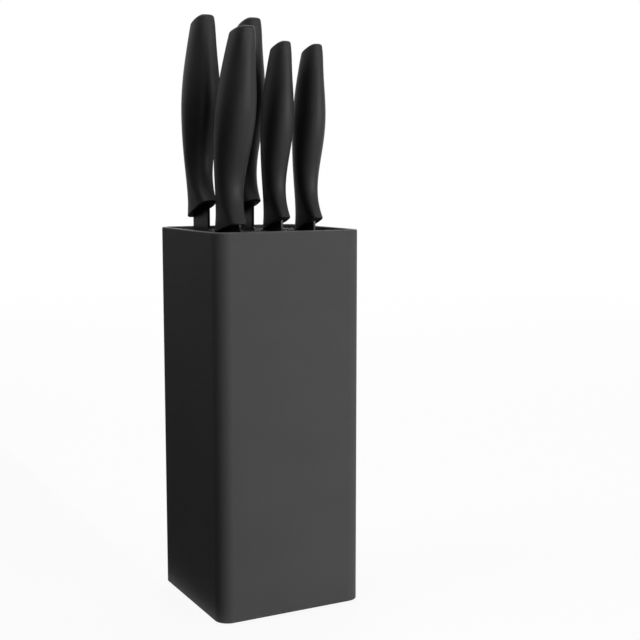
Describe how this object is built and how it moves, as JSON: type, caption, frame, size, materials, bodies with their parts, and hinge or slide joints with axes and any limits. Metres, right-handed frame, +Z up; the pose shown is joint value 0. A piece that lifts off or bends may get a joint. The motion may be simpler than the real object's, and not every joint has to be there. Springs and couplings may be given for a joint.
{
  "type": "knife block with knives",
  "caption": "Square free-standing knife block with a lift-out insert of upright flexible rods, holding bread, chef's, slicing, utility and paring knives with moulded grips.",
  "frame": {"origin": "centre of the block's footprint on the table, under the feet", "axes": "+Z up along the tower, front face towards -Y, +X to the right; blades lie in planes parallel to Y and Z with their edges towards -Y"},
  "size_m": [0.09, 0.09, 0.3418],
  "materials": {
    "housing_plastic": "fine matt moulded finish, dark grey",
    "base_plastic": "moulded, black",
    "screw_steel": "zinc plated",
    "foot_rubber": "matt, black",
    "tray_plastic": "moulded, black",
    "rod_plastic": "soft flexible plastic, black",
    "blade_steel": "black non-stick coating, satin",
    "grip_plastic": "soft satin moulding, black"
  },
  "bodies": {
    "block": {"housing": "housing_plastic", "base_plate": "base_plastic", "base_screws": "screw_steel", "foot_front_left": "foot_rubber", "foot_front_right": "foot_rubber", "foot_rear_left": "foot_rubber", "foot_rear_right": "foot_rubber"},
    "insert": {"insert_tray": "tray_plastic", "rod_block_front": "rod_plastic", "rod_block_rear": "rod_plastic"},
    "bread_knife": {"bread_knife_blade": "blade_steel", "bread_knife_handle": "grip_plastic"},
    "chef_knife": {"chef_knife_blade": "blade_steel", "chef_knife_handle": "grip_plastic"},
    "slicing_knife": {"slicing_knife_blade": "blade_steel", "slicing_knife_handle": "grip_plastic"},
    "utility_knife": {"utility_knife_blade": "blade_steel", "utility_knife_handle": "grip_plastic"},
    "paring_knife": {"paring_knife_blade": "blade_steel", "paring_knife_handle": "grip_plastic"}
  },
  "joints": [
    {"name": "insert_lift", "type": "slide", "parent": "block", "child": "insert", "axis": [0, 0, 1], "range_m": [0, 0.21]},
    {"name": "bread_knife_draw", "type": "slide", "parent": "insert", "child": "bread_knife", "axis": [0, 0, 1], "range_m": [0, 0.203]},
    {"name": "chef_knife_draw", "type": "slide", "parent": "insert", "child": "chef_knife", "axis": [0, -0.1323, 0.9912], "range_m": [0, 0.162]},
    {"name": "slicing_knife_draw", "type": "slide", "parent": "insert", "child": "slicing_knife", "axis": [0, -0.0209, 0.9998], "range_m": [0, 0.203]},
    {"name": "utility_knife_draw", "type": "slide", "parent": "insert", "child": "utility_knife", "axis": [0, -0.0209, 0.9998], "range_m": [0, 0.135]},
    {"name": "paring_knife_draw", "type": "slide", "parent": "insert", "child": "paring_knife", "axis": [0, 0, 1], "range_m": [0, 0.098]}
  ]
}
